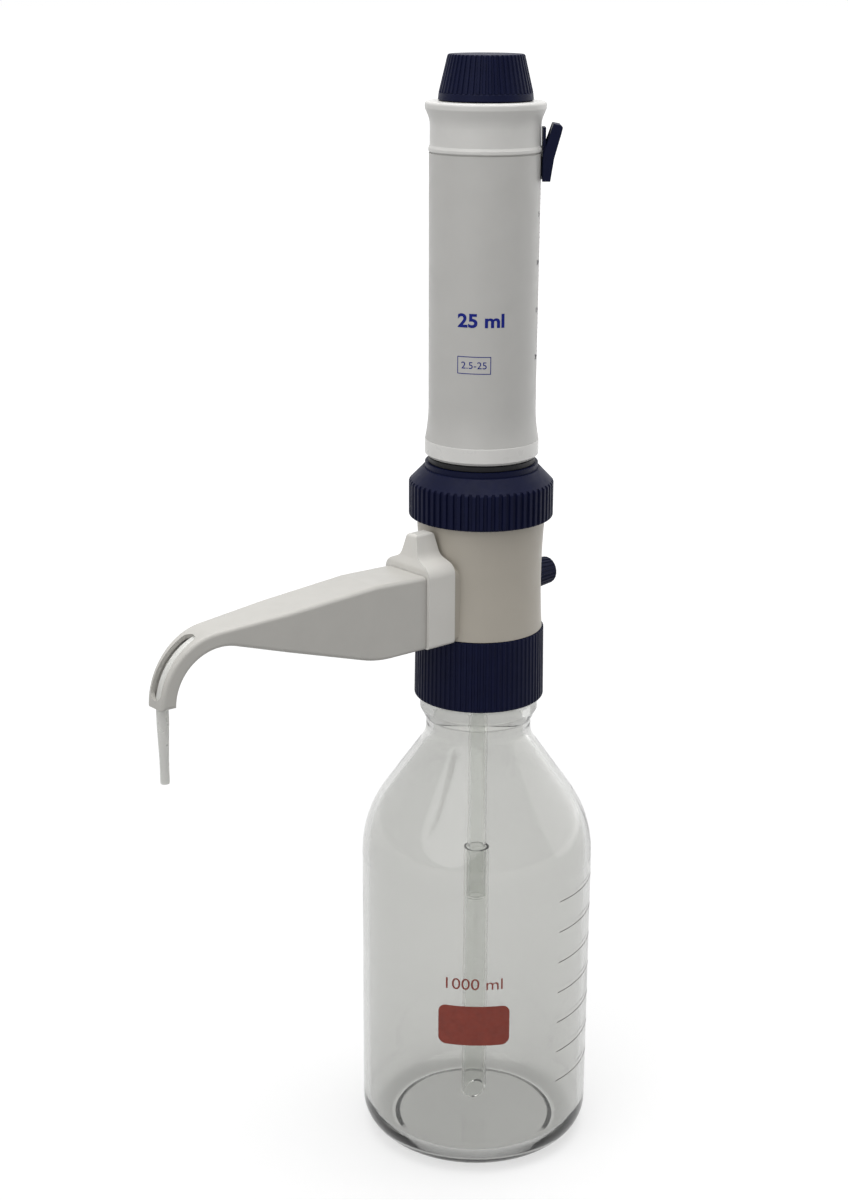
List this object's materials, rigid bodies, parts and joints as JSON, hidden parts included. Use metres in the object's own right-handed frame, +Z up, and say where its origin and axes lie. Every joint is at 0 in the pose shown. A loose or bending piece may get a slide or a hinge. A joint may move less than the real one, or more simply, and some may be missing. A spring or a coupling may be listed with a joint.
{
  "type": "bottle-top dispenser",
  "caption": "Bottle-top dispenser on a glass screw-neck bottle: sliding plunger sleeve with volume slider, valve block, thread collar and turning curved spout.",
  "frame": {"origin": "centre of the bottle's underside, where it stands on the bench", "axes": "+Z up along the bottle and the plunger, -X along the spout, +X towards the air vent"},
  "size_m": [0.2154, 0.101, 0.4723],
  "materials": {
    "clear_glass": "clear, polished",
    "navy_plastic": "satin moulded plastic",
    "white_plastic": "satin moulded plastic",
    "cream_plastic": "satin moulded plastic",
    "spout_plastic": "satin moulded plastic",
    "dark_grey_plastic": "matt moulded plastic",
    "fluoropolymer": "waxy, slightly translucent",
    "seal_rubber": "matt",
    "ceramic_ball": "polished",
    "steel": "bright drawn"
  },
  "bodies": {
    "bottle": {"bottle": "clear_glass"},
    "mouth_ring": {"mouth_seal": "fluoropolymer"},
    "head": {"valve_block": "cream_plastic", "collar_retainer": "white_plastic", "suction_valve_body": "fluoropolymer", "filling_tube_upper": "fluoropolymer", "outlet_flange": "spout_plastic", "glass_cylinder": "clear_glass", "cylinder_seal": "fluoropolymer", "cylinder_guard": "white_plastic"},
    "collar": {"thread_collar": "navy_plastic"},
    "lower_tube": {"filling_tube_lower": "fluoropolymer"},
    "suction_ball": {"suction_ball": "ceramic_ball"},
    "spout": {"spout_shroud": "spout_plastic", "discharge_tube": "fluoropolymer", "outlet_valve_body": "fluoropolymer", "outlet_seals": "seal_rubber", "outlet_spring": "steel"},
    "outlet_ball": {"outlet_ball": "ceramic_ball"},
    "vent": {"vent_cap": "navy_plastic", "vent_seal": "seal_rubber"},
    "ring": {"retaining_ring": "navy_plastic"},
    "bush": {"guide_bush": "dark_grey_plastic"},
    "plunger": {"sleeve": "white_plastic", "sleeve_head": "white_plastic", "sleeve_foot": "white_plastic", "piston_rod": "white_plastic", "piston": "fluoropolymer", "piston_rings": "fluoropolymer", "knob_nut": "dark_grey_plastic", "volume_rack": "white_plastic"},
    "knob": {"top_knob": "navy_plastic"},
    "slider": {"slider_carriage": "navy_plastic", "lever_pin": "steel", "lever_spring": "steel"},
    "lever": {"slider_lever": "navy_plastic"}
  },
  "joints": [
    {"name": "plunger_stroke", "type": "slide", "parent": "bush", "child": "plunger", "axis": [0, 0, 1], "range_m": [0, 0.0955]},
    {"name": "volume_set", "type": "slide", "parent": "plunger", "child": "slider", "axis": [0, 0, 1], "range_m": [-0.08595, 0]},
    {"name": "lever_press", "type": "hinge", "parent": "slider", "child": "lever", "pos_m": [0.01891, -0.01643, 0.4339], "axis": [-0.6561, -0.7547, 0], "range_deg": [0, 10], "stiffness_Nm_per_rad": 0.02, "springref_deg": -8.59},
    {"name": "spout_turn", "type": "hinge", "parent": "head", "child": "spout", "pos_m": [-0.0408, 0, 0.2532], "axis": [-1, 0, 0], "continuous": true},
    {"name": "lift_off", "type": "slide", "parent": "bottle", "child": "mouth_ring", "axis": [0, 0, 1], "range_m": [0, 0.24]},
    {"name": "dispenser_turn", "type": "hinge", "parent": "mouth_ring", "child": "head", "pos_m": [0, 0, 0.2265], "axis": [0, 0, 1], "continuous": true},
    {"name": "collar_turn", "type": "hinge", "parent": "head", "child": "collar", "pos_m": [0, 0, 0.225], "axis": [0, 0, 1], "continuous": true},
    {"name": "tube_shorten", "type": "slide", "parent": "head", "child": "lower_tube", "axis": [0, 0, 1], "range_m": [0, 0.08]},
    {"name": "ring_turn", "type": "hinge", "parent": "head", "child": "ring", "pos_m": [0, 0, 0.286], "axis": [0, 0, 1], "continuous": true},
    {"name": "sleeve_turn", "type": "hinge", "parent": "head", "child": "bush", "pos_m": [0, 0, 0.3089], "axis": [0, 0, 1], "continuous": true},
    {"name": "knob_turn", "type": "hinge", "parent": "plunger", "child": "knob", "pos_m": [0, 0, 0.4544], "axis": [0, 0, 1], "continuous": true},
    {"name": "vent_turn", "type": "hinge", "parent": "head", "child": "vent", "pos_m": [0.027, 0, 0.254], "axis": [1, 0, 0], "continuous": true},
    {"name": "suction_valve", "type": "slide", "parent": "head", "child": "suction_ball", "axis": [0, 0, 1], "range_m": [0, 0.0015]},
    {"name": "outlet_valve", "type": "slide", "parent": "spout", "child": "outlet_ball", "axis": [-1, 0, 0], "range_m": [0, 0.001], "stiffness_N_per_m": 20, "springref_m": -0.001}
  ]
}
